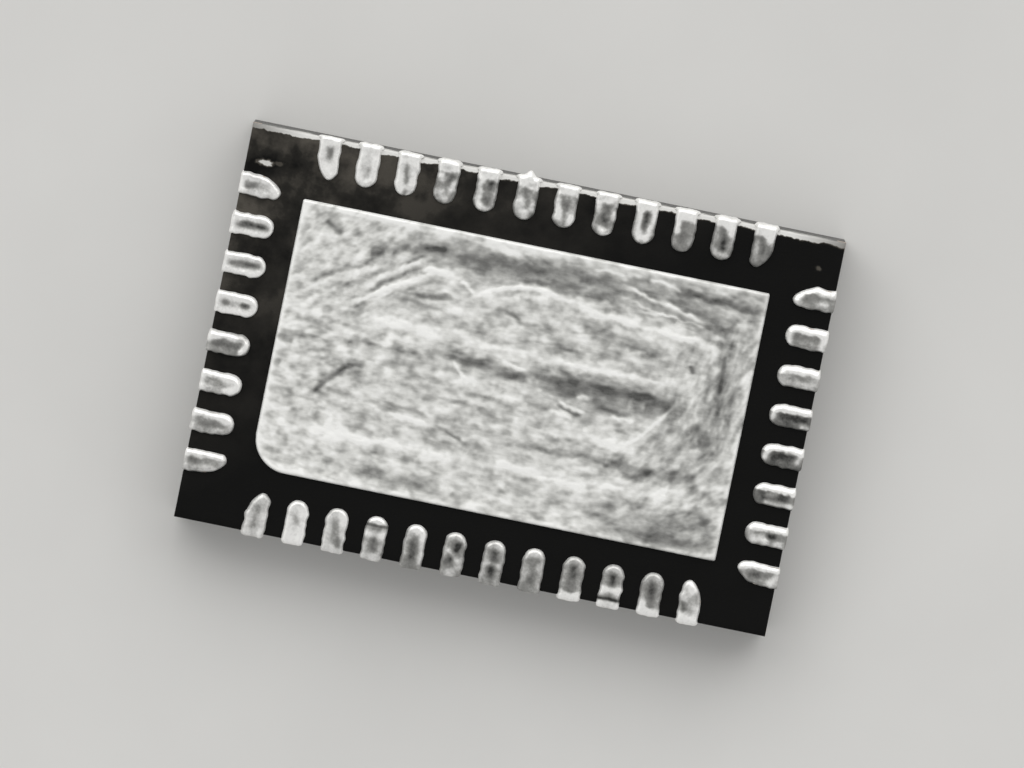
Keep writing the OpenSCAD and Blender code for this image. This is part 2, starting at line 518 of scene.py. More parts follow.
def northSideLight(material):  # painted light on the upper part of the north sawn side, which faces the window lamp
    sides, ragged, fromMiddle = northEdgePlaces(material)
    height = combine(material, "ADD", sides["Z"], levels(material, ragged, *flecksAndPaintedLight["sideLightWaver"]))
    film = levels(material, height, *flecksAndPaintedLight["sideLightHeight"])
    film = combine(material, "MULTIPLY", film, levels(material, sides["Y"], *flecksAndPaintedLight["sideLightNorth"]))
    return combine(material, "MULTIPLY", film, levels(material, fromMiddle, *flecksAndPaintedLight["sideLightEnds"]))


def mouldShade(material, layers, look):
    # paler towards the corner where leads 8 and 9 meet, broken up by a cloud
    slope = split(material, millimetres(material, flecksAndPaintedLight["slope"]))
    film = levels(material, combine(material, "ADD", slope["X"], slope["Y"]), *flecksAndPaintedLight["slopePaling"])
    cloud = levels(material, layers["cloud"], *flecksAndPaintedLight["cloudPaling"])
    film = combine(material, "MULTIPLY", film, cloud)
    for centre, reach, strength in mouldFlecks:
        film = combine(material, "MAXIMUM", film, fleck(material, centre, reach, strength))
    # the painted highlight along the north edge, which faces the window lamp
    return combine(material, "MAXIMUM", film, northEdgeHighlight(material))


def sawnShade(material, layers, look):
    layers["sawn"] = combine(material, "MULTIPLY", layers["strokes"], layers["filler"])
    # painted light on the north side, which faces the window lamp
    return combine(material, "ADD", layers["sawn"], northSideLight(material))


def solderShade(material, layers, look):  # the tones on the piece's own vertices, broken up by its noises
    shade = readTones(material)
    for layer, span in look["tones"].items():
        shade = combine(material, "ADD", shade, levels(material, layers[layer], *span))
    return shade


mouldFinish = makeFinish("mouldedEpoxy", mouldShade)
sawnFinish = makeFinish("sawnEpoxy", sawnShade)
leadFrameFinish = makeFinish("tinnedCopper")
leadSolderFinish = makeFinish("leadSolder", solderShade)
padSolderFinish = makeFinish("wipedSolder", solderShade)
innerFinishes = {"die_attach": makeFinish("silverAdhesive"), "die": makeFinish("silicon")}
wireFinish = makeFinish("goldWire")
for name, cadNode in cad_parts.items():
    finish = innerFinishes.get(name, leadFrameFinish)
    if name.startswith("bond_wires"):
        finish = wireFinish
    cadNode.data.materials.clear()
    cadNode.data.materials.append(finish)
print("finishes made")

# The moulding: solder face, four sawn sides and the pin-1 dot in the marked face
bodyLow, bodyHigh = boxInMm("mould_body")
moulding = {
    "cells": (150, 100),
    "sideRows": 14,
    "edgeRadius": 0.012,
    "edgeSteps": 3,
    "sideSetback": 0.003,  # the sawn sides stand this far inside the lead ends
    "dotRadius": 0.2,
    "dotDepth": 0.02,
    "dotInset": 0.6,
    "dotCorners": 64,
    "faceRipple": 0.0012,
    "faceRippleNoise": ((2.5, 2.5, 2.5), 0.8, 2.0, 4),  # scale, then the settings of the finer detail
    "sawRipple": 0.0015,
    "sawRippleNoise": ((0.7, 0.7, 18),),
    "chip": 0.010,
    "chipNoise": ((6, 6, 6),),
    "chipDrift": Vector((7, 3, 1)),
    "chipRange": (0.25, 0.6),  # where the noise is above this the edge is chipped
    "smoothAngle": 35,
    "sideBand": 2,  # points less than this many edge radii from a side belong to it
    "faceBand": 1.5,  # and to the solder face
    "sawnSlope": 0.5,  # a face whose normal rises less than this is a sawn side
}


def moveRim(grow, drop, halfX, halfY):  # extrudes the open rim outwards and down
    bpy.ops.mesh.extrude_region_move(TRANSFORM_OT_translate={"value": (0, 0, -drop)})
    bpy.ops.transform.resize(value=((halfX + grow) / halfX, (halfY + grow) / halfY, 1))


def roundRim(profile, reach, innerX, innerY):  # takes the rim along a profile of reach and drop
    fallen = 0.0
    for grow, drop in profile:
        moveRim(grow - reach, drop - fallen, innerX + reach, innerY + reach)
        reach, fallen = grow, drop


def makeMoulding():
    radius = moulding["edgeRadius"]
    halfX = bodyHigh.x - moulding["sideSetback"]
    halfY = bodyHigh.y - moulding["sideSetback"]
    innerX, innerY = halfX - radius, halfY - radius
    rows = moulding["sideRows"]
    steps = moulding["edgeSteps"]
    turns = [math.pi / 2 * step / steps for step in range(1, steps + 1)]
    piece = newGrid("moulding", *moulding["cells"])
    bpy.ops.object.mode_set(mode="EDIT")
    bpy.ops.transform.resize(value=(innerX, innerY, 1))
    bpy.ops.transform.translate(value=(0, 0, bodyHigh.z))
    selectRim(piece)
    roundRim([(radius * math.sin(t), radius * (1 - math.cos(t))) for t in turns], 0.0, innerX, innerY)
    for row in range(rows):
        moveRim(0, (bodyHigh.z - bodyLow.z - 2 * radius) / rows, halfX, halfY)
    roundRim([(radius * math.cos(t), radius * math.sin(t)) for t in turns], radius, innerX, innerY)
    bpy.ops.mesh.edge_face_add()
    bpy.ops.object.mode_set(mode="OBJECT")
    return piece


def cutDot(piece):
    inset = moulding["dotInset"]
    clearSelection()
    bpy.ops.mesh.primitive_cylinder_add(
        vertices=moulding["dotCorners"], radius=moulding["dotRadius"], depth=2 * moulding["dotDepth"],
        location=(bodyLow.x + inset, bodyLow.y + inset, bodyLow.z))
    cutter = bpy.context.active_object
    applyModifier(piece, "BOOLEAN", operation="DIFFERENCE", object=cutter, solver="EXACT")
    bpy.data.objects.remove(cutter)


def roughenMoulding(piece):
    sideBand = moulding["sideBand"] * moulding["edgeRadius"]
    faceBand = moulding["faceBand"] * moulding["edgeRadius"]
    for vertex in piece.data.vertices:
        place = vertex.co
        if place.z < bodyLow.z + sideBand:
            continue
        sideX = abs(place.x) > bodyHigh.x - sideBand
        sideY = abs(place.y) > bodyHigh.y - sideBand
        if place.z > bodyHigh.z - faceBand:
            vertex.co.z += moulding["faceRipple"] * noiseAt(place, *moulding["faceRippleNoise"])
            if sideX or sideY:
                chip = noiseAt(place, *moulding["chipNoise"], drift=moulding["chipDrift"])
                vertex.co.z -= moulding["chip"] * smoothStep(chip, *moulding["chipRange"])
        elif sideX or sideY:
            push = moulding["sawRipple"] * noiseAt(place, *moulding["sawRippleNoise"])
            if sideX:
                vertex.co.x += math.copysign(push, place.x)
            if sideY:
                vertex.co.y += math.copysign(push, place.y)


def dressMoulding():
    piece = makeMoulding()
    cutDot(piece)
    roughenMoulding(piece)
    finishPiece(piece, "mould_compound", moulding["smoothAngle"], mouldFinish, sawnFinish)
    for face in piece.data.polygons:
        if abs(face.normal.z) < moulding["sawnSlope"]:
            face.material_index = 1
    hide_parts("mould_body")


dressMoulding()
print("moulding made")

# Solder on the leads: a low bead over each land that runs over the sawn end
leadSolder = {
    "rows": (12, 28, 16),  # across the round tip, along the land and down the end
    "columns": 24,
    "lip": 0.05,  # half-etched tongue inside the moulding, not soldered
    "overlap": 0.011,  # the bead stands this far over the land's edge
    "tipStart": math.radians(7),  # angle of the first row on the round tip
    "cornerTip": -0.035,  # where the tip of a slant-cut bead lies across the land
    "cornerSlant": 0.235,  # length of its slanted side
    "cornerRound": 0.085,  # length of the rounding on its straight side
    "cornerPower": 1.55,  # 1 is a straight slant, 2 an ellipse
    "ragged": 0.14,  # share by which the outline swells here and there
    "raggedLeast": -0.3,
    "raggedSide": 4,  # the two sides read the noise this far from its middle, so they differ
    "edgeRadius": 0.012,
    "skin": 0.006,
    "landSink": 0.0005,  # solder starts this far inside the moulding
    "endSink": 0.002,  # and this far inside the sawn end
    "crown": (0.022, 0.032),
    "crownWave": 0.12,
    "swell": (-0.2, 0.3),  # share by which the tip is higher than the middle
    "dish": (0.003, 0.008),  # how far the middle sinks
    "dishDepth": (0.03, 0.09),  # how far in from the edge it sinks
    "relief": 0.006,  # height of a full-strength mark
    "rimLean": 0.45,  # share by which the rim is wider to the north
    "toe": (0.10, 0.18),  # how far the bead runs down the end
    "toeRound": 0.85,  # how far the toe narrows at its lower end
    "toeWave": 0.25,  # share by which its lower edge and its thickness waver
    "toeWaveLayer": (3, 5),  # place in the noise that the lower edge reads
    "noiseSpread": 90,  # each bead reads the noise at a place of its own
    "smoothAngle": 60,
    "seed": 40,
}
beadNoises = {  # scale inwards, across and down the end, then the settings of the finer detail, if any
    "wave": ((9, 9, 7), 0.7, 2.0, 3),
    "mottle": ((12, 12, 12), 0.6, 2.0, 2),
    "ragged": ((13, 1, 13),),
    "toeWave": ((7, 1, 1),),
}
spur = {"bead": "solder_lead_14", "rise": 0.06, "past": 0.03, "reach": 0.035}  # a peak on one toe
toneRanges = {  # where one tone passes into the next, in mm, and for the north in half widths of the bead
    "middle": (0.036, 0.105),
    "tip": (-0.13, -0.03),
    "toe": (-0.02, 0.03),
    "north": (0.15, 0.45),
}
toneWaves = {"middle": 0.015, "toe": 0.02, "north": 0.2}  # how far those places waver
sideToes = {  # thickness of the toe on the sawn end, its spread, and how far its tone reaches over the land
    "west": {"bulge": (0.010, 0.022), "spread": 0.06, "reach": 0.02},
    # the north toes' pale tone reaches furthest, partly as painted highlight
    "north": {"bulge": (0.018, 0.032), "spread": 0.22, "reach": 0.08},
    "east": {"bulge": (0.010, 0.020), "spread": 0.04, "reach": 0.02},
    "south": {"bulge": (0.030, 0.042), "spread": 0.06, "reach": 0.05},
}
# The north tone is a painted highlight on the side of each bead that faces the window lamp.
beadColumns = ("rim", "edge", "north", "middle", "tip", "toe", "speckle", "leads")
# The pale rims, the white tips of the south beads and the white toes of the north beads are partly painted
# highlight and partly the solder's own tone.
beadRows = (  # width of the rim, tone of each part of the bead, its speckling and the leads that look so
    (0.050, 0.64, 1.00, 0.54, 0.72, 0.72, 0.16, (1, 2, 3)),  # painted highlight along the northern edge
    (0.045, 0.50, 0.72, 0.36, 0.44, 0.60, 0.16, (4,)),  # a bright hook
    (0.034, 1.00, 1.00, 0.76, 1.00, 0.96, 0.12, (5, 6, 7, 9)),  # a bright ring
    (0.034, 0.86, 0.92, 0.58, 0.80, 0.86, 0.14, (8, 38)),  # a softer ring
    (0.045, 1.00, 1.00, 0.86, 0.96, 1.00, 0.20, (10, 11, 39)),  # white all over
    (0.045, 0.82, 0.82, 0.70, 0.84, 0.84, 0.18, (29, 40)),  # pale all over
    (0.040, 0.56, 0.56, 0.36, 0.44, 1.00, 0.26, (12, 13, 14, 15, 16)),  # speckled, white toe
    (0.036, 0.54, 0.54, 0.26, 0.44, 1.00, 0.18, (17, 18, 19)),  # a pale outline, white toe
    (0.036, 0.40, 0.40, 0.20, 0.34, 1.00, 0.16, (20,)),  # dull, white toe
    (0.065, 0.50, 1.00, 0.44, 0.62, 0.46, 0.16, (21, 22, 23, 27, 28)),  # a painted highlight in a band along the northern side
    (0.060, 0.18, 1.00, 0.06, 0.26, 0.18, 0.14, (24, 25, 26)),  # the same on a dark bead
    (0.042, 0.62, 0.62, 0.30, 0.84, 0.54, 0.16, (33, 34, 35, 36, 37)),  # a white tip
    (0.042, 0.58, 0.58, 0.26, 0.74, 1.00, 0.16, (30, 31, 32)),  # a white toe
)
beadLooks = {}
for beadRow in beadRows:
    for leadNumber in beadRow[-1]:
        beadLooks[leadNumber] = dict(zip(beadColumns, beadRow))
leadMarks = {  # start, end, half width and tone of the marks on each bead, in mm inwards and across
    1: [((0.07, 0), (0.11, 0), 0.037, -0.33), ((0.27, -0.09), (0.31, -0.07), 0.037, 0.33)],
    2: [((0.3, 0.04), (0.38, 0.05), 0.042, 0.43), ((0.1, -0.03), (0.34, -0.02), 0.025, -0.2)],
    3: [((0.24, 0.05), (0.29, 0.06), 0.042, 0.45), ((0.26, -0.07), (0.32, -0.05), 0.038, 0.43),
        ((0.36, -0.03), (0.37, 0.04), 0.032, 0.38), ((0.02, -0.08), (0.02, 0.08), 0.032, 0.28)],
    4: [((0.01, 0.04), (0.08, 0.07), 0.042, 0.62), ((0.05, 0.08), (0.25, 0.07), 0.025, 0.38),
        ((0.33, -0.07), (0.4, 0.05), 0.027, 0.75), ((0.08, -0.04), (0.2, -0.04), 0.047, -0.15)],
    5: [((0.08, 0), (0.1, 0), 0.034, -0.45), ((0.26, 0), (0.31, 0), 0.03, -0.62)],
    6: [((0.08, 0), (0.33, 0.01), 0.044, -0.38), ((0.22, 0.01), (0.34, 0.01), 0.023, -0.2)],
    7: [((0.09, -0.02), (0.32, 0), 0.042, -0.46), ((0.1, 0.02), (0.19, 0.02), 0.023, -0.33),
        ((0.26, 0), (0.35, -0.01), 0.025, -0.33)],
    8: [((0.07, -0.04), (0.12, -0.02), 0.032, -0.38), ((0.02, -0.06), (0.02, 0.08), 0.025, 0.3),
        ((0.32, -0.02), (0.37, -0.04), 0.032, 0.25)],
    9: [((0.12, 0.01), (0.17, 0.02), 0.04, -0.42), ((0.29, 0.01), (0.35, 0.04), 0.042, 0.25)],
    10: [((0.22, 0.01), (0.28, 0.01), 0.032, -0.2)],
    11: [((0.12, -0.02), (0.27, 0.01), 0.027, -0.38), ((0.31, -0.06), (0.36, -0.05), 0.034, 0.3),
         ((0.37, 0.01), (0.41, 0.01), 0.027, -0.5)],
    12: [((0.14, -0.06), (0.18, -0.04), 0.029, 0.5), ((0.2, 0.06), (0.25, 0.06), 0.036, 0.43),
         ((0.3, -0.03), (0.35, 0), 0.038, 0.45), ((0.12, 0.05), (0.16, 0.04), 0.032, -0.3)],
    13: [((0.08, -0.06), (0.36, -0.05), 0.029, 0.45), ((0.37, -0.03), (0.38, 0.04), 0.036, 0.4),
         ((0.13, 0.05), (0.18, 0.05), 0.036, -0.28)],
    14: [((0.24, -0.05), (0.31, -0.03), 0.044, 0.53), ((0.24, 0.07), (0.29, 0.07), 0.032, 0.28),
         ((0.33, 0.02), (0.38, 0.03), 0.036, 0.28)],
    15: [((0.25, -0.06), (0.3, -0.05), 0.036, 0.7), ((0.3, 0.07), (0.35, 0.07), 0.038, 0.65),
         ((0.12, -0.08), (0.2, -0.07), 0.027, 0.33)],
    16: [((0.34, -0.01), (0.38, 0.06), 0.042, 0.5), ((0.26, 0.02), (0.32, 0.03), 0.036, -0.28),
         ((0.1, -0.08), (0.17, -0.07), 0.032, 0.33), ((0.17, 0.09), (0.23, 0.08), 0.029, 0.3)],
    17: [((0.08, -0.06), (0.36, -0.04), 0.029, 0.58), ((0.12, 0.09), (0.34, 0.04), 0.032, 0.53),
         ((0.31, -0.01), (0.36, 0.03), 0.038, 0.38), ((0.1, 0.01), (0.22, 0.01), 0.032, -0.18)],
    18: [((0.05, -0.08), (0.21, -0.07), 0.027, 0.7), ((0.07, -0.02), (0.08, 0.09), 0.036, 0.45)],
    19: [((0.08, 0.04), (0.13, 0.06), 0.044, 0.62), ((0.23, 0), (0.3, 0.02), 0.036, -0.22),
         ((0.34, -0.05), (0.36, 0.05), 0.029, 0.3)],
    20: [((0.06, 0.04), (0.12, 0.05), 0.053, 0.78), ((0.16, -0.07), (0.34, -0.05), 0.027, 0.25)],
    21: [((0.31, -0.06), (0.37, 0.05), 0.032, 0.45), ((0.07, 0.04), (0.12, 0.04), 0.029, 0.33)],
    22: [((0.02, -0.05), (0.03, 0.09), 0.034, 0.58), ((0.36, -0.04), (0.36, 0.07), 0.027, 0.33)],
    23: [((0.02, -0.02), (0.05, 0.08), 0.042, 0.2), ((0.12, 0.07), (0.32, 0.07), 0.032, 0.2)],
    24: [((0.02, 0.08), (0.07, 0.08), 0.027, 0.62), ((0.35, -0.05), (0.37, 0.04), 0.032, 0.62)],
    25: [((0.02, -0.06), (0.04, 0.03), 0.034, 0.75), ((0.34, -0.05), (0.37, 0.04), 0.034, 0.7)],
    26: [((0.02, 0.08), (0.27, 0.08), 0.027, 0.58), ((0.18, -0.02), (0.26, 0), 0.032, 0.45),
         ((0.02, -0.02), (0.03, 0.08), 0.029, 0.33)],
    27: [((0.12, 0), (0.16, 0.01), 0.034, -0.43), ((0.04, 0.07), (0.08, 0.07), 0.034, 0.38),
         ((0.2, 0.06), (0.3, 0.05), 0.044, 0.43)],
    28: [((0.02, 0), (0.06, 0.06), 0.042, 0.45), ((0.21, 0.02), (0.27, 0.02), 0.038, -0.28)],
    29: [((0, -0.06), (0.02, 0.08), 0.053, 0.38), ((0.12, 0.06), (0.16, 0.07), 0.036, -0.62),
         ((0.2, -0.07), (0.27, -0.04), 0.032, -0.28), ((0.32, 0.01), (0.36, 0.02), 0.042, 0.38)],
    30: [((0.04, 0.04), (0.09, 0.06), 0.036, 0.62), ((0.22, -0.01), (0.29, 0.01), 0.046, -0.15)],
    31: [((0.058, -0.11), (0.058, 0.11), 0.017, -0.88), ((0.152, -0.1), (0.152, 0.1), 0.038, 0.78),
         ((0.23, 0.01), (0.29, 0), 0.036, -0.25)],
    32: [((0.01, -0.09), (0.05, -0.07), 0.032, 0.25), ((0.23, 0), (0.29, 0.01), 0.04, -0.18)],
    33: [((0.05, 0.01), (0.09, 0.01), 0.042, -0.1), ((0.12, 0), (0.3, 0), 0.053, 0.12)],
    34: [((0.06, 0), (0.12, 0.01), 0.044, -0.28), ((0.17, -0.06), (0.18, 0.06), 0.025, 0.2),
         ((0.24, 0), (0.29, 0), 0.036, -0.2)],
    35: [((0.1, 0.07), (0.15, 0.02), 0.032, -0.38), ((0.24, -0.03), (0.29, -0.04), 0.038, -0.5),
         ((0.13, -0.04), (0.22, 0.05), 0.027, 0.43), ((0, 0), (0.05, -0.02), 0.053, 0.18)],
    36: [((0.04, 0.01), (0.2, 0.02), 0.05, -0.22), ((0.04, -0.09), (0.28, -0.08), 0.032, 0.28),
         ((0.31, -0.03), (0.37, 0.01), 0.053, 0.43)],
    37: [((0, -0.06), (0.01, 0.07), 0.038, 0.3), ((0.23, -0.08), (0.23, 0.08), 0.036, 0.45),
         ((0.32, -0.1), (0.32, 0.1), 0.014, -0.55), ((0.35, -0.02), (0.38, 0.01), 0.036, 0.38)],
    38: [((0.05, -0.05), (0.1, -0.05), 0.032, -0.45), ((0.3, -0.07), (0.36, -0.05), 0.046, 0.38),
         ((0.12, 0.01), (0.28, 0.02), 0.027, -0.12)],
    39: [((0, -0.04), (0.03, 0.04), 0.063, 0.25), ((0.2, 0), (0.27, 0.02), 0.042, -0.2)],
    40: [((0.05, 0.02), (0.26, -0.01), 0.036, -0.18)],
}
leadSides = {  # the way inwards from each side
    "west": Vector((1, 0, 0)),
    "north": Vector((0, -1, 0)),
    "east": Vector((-1, 0, 0)),
    "south": Vector((0, 1, 0)),
}
leadNames = sorted(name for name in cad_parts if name.startswith("lead_"))
plainLow, plainHigh = boxInMm("lead_04")
landStep = plainHigh.z - bodyHigh.z  # the lands stand this far out of the moulding
beadHalf = (plainHigh.y - plainLow.y) / 2 + leadSolder["overlap"]
beadLength = plainHigh.x - plainLow.x - leadSolder["lip"] + leadSolder["overlap"]
beadArc = leadSolder["edgeRadius"] * math.pi / 2


def seatOf(name):  # side of a lead, the middle of its sawn end, and the ways inwards and across
    low, high = boxInMm(name)
    reach = {
        "west": low.x - bodyLow.x, "north": bodyHigh.y - high.y,
        "east": bodyHigh.x - high.x, "south": low.y - bodyLow.y,
    }
    side = min(reach, key=lambda key: abs(reach[key]))
    inward = leadSides[side]
    end = (low + high) / 2
    end.z = high.z
    if side in ("west", "east"):
        end.x = low.x if side == "west" else high.x
    else:
        end.y = low.y if side == "south" else high.y
    return side, end, inward, Vector((0, 0, 1)).cross(inward)


def cornerSides(x):  # how far along its slanted and its straight side the tip has closed, 0 to 1
    slant = clamp(1 - (beadLength - x) / leadSolder["cornerSlant"])
    plain = clamp(1 - (beadLength - x) / leadSolder["cornerRound"])
    return slant, plain


def landEdges(x, cutSide):  # lower and upper edge of the bead at x inwards from the sawn end
    if not cutSide:
        past = max(x - (beadLength - beadHalf), 0.0)
        width = math.sqrt(beadHalf * beadHalf - past * past)
        return -width, width
    tip = leadSolder["cornerTip"]
    power = leadSolder["cornerPower"]
    slant, plain = cornerSides(x)
    high = tip + (beadHalf - tip) * (1 - slant ** power) ** (1 / power)
    low = tip - (beadHalf + tip) * math.sqrt(1 - plain ** 2)
    return (low, high) if cutSide > 0 else (-high, -low)


def landDepth(x, y, cutSide):  # distance in from the bead's own edge
    if not cutSide:
        return max(beadHalf - math.hypot(max(x - (beadLength - beadHalf), 0.0), y), 0.0)
    power = leadSolder["cornerPower"]
    over = y * cutSide - leadSolder["cornerTip"]
    slantWidth = beadHalf - leadSolder["cornerTip"]
    plainWidth = beadHalf + leadSolder["cornerTip"]
    slant, plain = cornerSides(x)
    upper = (slant ** power + (max(over, 0.0) / slantWidth) ** power) ** (1 / power)
    lower = math.hypot(plain, max(-over, 0.0) / plainWidth)
    fromSlant = (1 - upper) * slantWidth + max(-over, 0.0)
    fromPlain = (1 - lower) * plainWidth + max(over, 0.0)
    return max(min(fromSlant, fromPlain), 0.0)


def rollBead(dice, side):  # what differs by chance from bead to bead
    return {
        "crown": dice.uniform(*leadSolder["crown"]),
        "dish": dice.uniform(*leadSolder["dish"]),
        "toe": dice.uniform(*leadSolder["toe"]),
        "bulge": dice.uniform(*sideToes[side]["bulge"]),
        "swell": dice.uniform(*leadSolder["swell"]),
        "drift": Vector([dice.uniform(0, leadSolder["noiseSpread"]) for axis in range(3)]),
    }


def rowPlace(row, toe):  # how far in from the sawn end a row of points lies, and how far past the edge
    tipRows, landRows, endRows = leadSolder["rows"]
    radius = leadSolder["edgeRadius"]
    start = leadSolder["tipStart"]
    straight = beadLength - beadHalf
    if row <= tipRows:
        angle = start + (math.pi / 2 - start) * row / tipRows
        return straight + beadHalf * math.cos(angle), 0.0
    if row <= tipRows + landRows:
        return straight + (radius - straight) * (row - tipRows) / landRows, 0.0
    return radius, (beadArc + toe) * (row - tipRows - landRows) / endRows


def beadTone(look, x, toeReach, depth, northShare, wave):
    shares = {
        "middle": smoothStep(depth + toneWaves["middle"] * wave, *toneRanges["middle"]),
        "tip": smoothStep(x - beadLength, *toneRanges["tip"]),
        "toe": 1 - smoothStep(x + toneWaves["toe"] * wave - toeReach, *toneRanges["toe"]),
        # painted highlight on the side that faces the window lamp
        "north": smoothStep(northShare + toneWaves["north"] * wave, *toneRanges["north"]),
    }
    tone = look["edge"]
    for part, share in shares.items():
        tone = mix(tone, look[part], share)
    return tone


def beadHeight(bead, look, isSpur, x, y, past, depth, northShare, wave, mark):
    onEnd = clamp(past / beadArc)
    top = bead["crown"] * (1 + bead["swell"] * (2 * x / beadLength - 1) + leadSolder["crownWave"] * wave)
    top -= bead["dish"] * smoothStep(depth, *leadSolder["dishDepth"])
    top += leadSolder["relief"] * mark
    toeTop = bead["bulge"] * (1 + leadSolder["toeWave"] * wave)
    if isSpur:
        toeTop += spur["rise"] * math.exp(
            -(y / spur["reach"]) ** 2 - ((past - spur["past"]) / spur["reach"]) ** 2)
    top = mix(top, toeTop, onEnd)
    base = mix(-landStep - leadSolder["landSink"], -leadSolder["endSink"], onEnd)
    rim = look["rim"] * (1 + leadSolder["rimLean"] * northShare)
    toEnd = beadArc + bead["toe"] - past
    return base + (top - base) * shoulder(depth, rim) * shoulder(toEnd, look["rim"])


def beadPoint(bead, side, x, y, past, height):  # place inwards, across and up from the end's upper edge
    radius = leadSolder["edgeRadius"]
    y *= 1 + sideToes[side]["spread"] * smoothStep(past, 0.0, 2 * beadArc)
    sideLayer = math.copysign(leadSolder["raggedSide"], y)
    swollen = noiseAt((x, sideLayer, past), *beadNoises["ragged"], drift=bead["drift"])
    y *= 1 + leadSolder["ragged"] * max(swollen, leadSolder["raggedLeast"])
    below = max(past - beadArc, 0.0)
    y *= math.sqrt(1 - (leadSolder["toeRound"] * below / bead["toe"]) ** 2)
    waver = noiseAt((y, *leadSolder["toeWaveLayer"]), *beadNoises["toeWave"], drift=bead["drift"])
    below *= 1 + leadSolder["toeWave"] * waver
    if past <= 0:
        return x, y, height
    if past < beadArc:
        turn = past / radius
        return radius - (radius + height) * math.sin(turn), y, -radius + (radius + height) * math.cos(turn)
    return -height, y, -radius - below


def shapeBead(piece, cutSide, dice, side, end, inward, across):
    number = int(piece.name[-2:])
    look = beadLooks[number]
    bead = rollBead(dice, side)
    isSpur = piece.name == spur["bead"]
    tones = []
    for vertex in piece.data.vertices:
        row = round((vertex.co.x + 1) / 2 * sum(leadSolder["rows"]))
        x, past = rowPlace(row, bead["toe"])
        low, high = landEdges(x, cutSide)
        y = (low + high) / 2 + vertex.co.y * (high - low) / 2
        depth = landDepth(x, y, cutSide)
        northShare = across.y * y / beadHalf
        wave = noiseAt((x, y, past), *beadNoises["wave"], drift=bead["drift"])
        mottle = noiseAt((x, y, past), *beadNoises["mottle"], drift=bead["drift"])
        mark = 0.0
        for start, stop, breadth, markTone in leadMarks[number]:
            mark += markTone * dabShare(x - past, y, start, stop, breadth)
        height = beadHeight(bead, look, isSpur, x, y, past, depth, northShare, wave, mark)
        inset = min(depth, beadArc + bead["toe"] - past)
        tone = beadTone(look, x - past, sideToes[side]["reach"], inset, northShare, wave)
        tones.append(clamp(tone + mark + look["speckle"] * mottle))
        along, y, up = beadPoint(bead, side, x, y, past, height)
        vertex.co = end + inward * along + across * y + Vector((0, 0, up))
    keepTones(piece, tones)


def dressLeads():
    dice = random.Random(leadSolder["seed"])
    seats = [seatOf(name) for name in leadNames]
    rows = {side: [name for name, seat in zip(leadNames, seats) if seat[0] == side] for side in leadSides}
    for name, seat in zip(leadNames, seats):
        row = rows[seat[0]]
        cutSide = 0  # the side of the land that is cut on a slant
        if name == row[0]:
            cutSide = -1
        elif name == row[-1]:
            cutSide = 1
        piece = newGrid("solder_" + name, sum(leadSolder["rows"]), leadSolder["columns"])
        shapeBead(piece, cutSide, dice, *seat)
        outward(piece)
        applyModifier(piece, "SOLIDIFY", thickness=leadSolder["skin"], offset=-1)
        finishPiece(piece, "tinned_copper", leadSolder["smoothAngle"], leadSolderFinish)


dressLeads()
print("lead solder made,", len(leadNames), "beads")

# Solder on the pad: wiped thin, with a rim that stands a little higher
padLevel = boxInMm("die_paddle")[1].z
padSolder = {
    "cells": (400, 225),
    "length": 4.7,
    "width": 2.7,
    "overlap": 0.010,
    "lastColumn": 0.9999,  # share of the length at which the outermost points lie
    "indexRadius": 0.35,  # the rounded pin-1 corner
    "cornerRadius": 0.018,
    "film": 0.012,
    "leastFilm": 0.002,
    "rimWidth": 0.024,
    "rimRise": 0.010,
    "rimReach": 0.09,
    "swell": 0.005,
    "relief": 0.007,  # height of a full-strength mark
    "patchRelief": 0.3,
    "markWave": 0.03,  # how far a mark strays from its line
    "foot": 0.004,
    "strokes": 900,
    "strokeLength": (0.06, 0.32),
    "strokeStray": 20,  # degrees by which a stroke may stray from the wiping direction
    "strokeHalf": (0.016, 0.046),
    "strokeTone": (0.03, 0.15),
    "strokeMost": 0.4,  # tone that strokes on top of one another come to at most
    "smoothAngle": 60,
    "seed": 12,
}
padHalfX = padSolder["length"] / 2 + padSolder["overlap"]
padHalfY = padSolder["width"] / 2 + padSolder["overlap"]
padTone = {
    "middle": 0.64,
    "mark": 1.2,
    "markLeast": 0.78,  # marks are broken up between this strength
    "markMore": 0.44,  # and this much more
    "markBreaks": (-0.5, 0.5),
    "blotch": 0.10,
    "patchy": 0.25,
    "grain": 0.22,
    "calm": 0.65,  # the dark marks are smoother than the rest
    "calmRange": (0.10, 0.36),
    "edge": 0.5,
    "edgeReach": 0.045,
    "edgeLeast": 0.4,  # share of the edge's tone that is left where it is frayed
    "edgeFray": (-0.4, 0.3),
    "range": (0.02, 1.0),
}
padGrains = (  # direction, range and strength by which the grain grows towards a side
    ((-1, 0), (0.9, 1.9), 0.07),
    ((1, 0), (1.6, 2.1), 0.05),
)
padShades = (  # the same for the tone
    ((-1, 0), (0.6, 1.8), 0.06),
    ((0, -1), (0.5, 1.0), 0.05),
    ((1, 0), (1.5, 2.1), -0.05),
)
padDull = {  # where the edge is less pale: ranges of place, and by what share
    "end": (2.2, 2.3),
    "endShare": 0.4,
    "cornerAlong": (0.6, 1.4),
    "cornerAcross": (1.2, 1.3),
    "cornerShare": 0.5,
}
padNoises = {  # scale along and across and the layer, then the settings of the finer detail, if any
    "markWave": ((4.5, 4.5, 31.0), 0.7, 2.0, 3),
    "blotch": ((2.0, 3.5, 9.0), 0.5, 2.1, 4),
    "broken": ((4, 7, 53.0),),
    "frayed": ((4, 4, 77.0),),
}
wipeNoises = {"patchy": (4.2, 8.0, 17.0), "mottle": (9.0, 15.0, 4.0)}
wipeDetail = (0.7, 2.0, 2)
wipeLeast = 0.12  # a patch counts where it has this share of the strongest one
wipeFar = 1e-6  # share that every patch has everywhere, so that they never come to 0
wipeLayers = 7  # step from the noise of one patch to that of the next
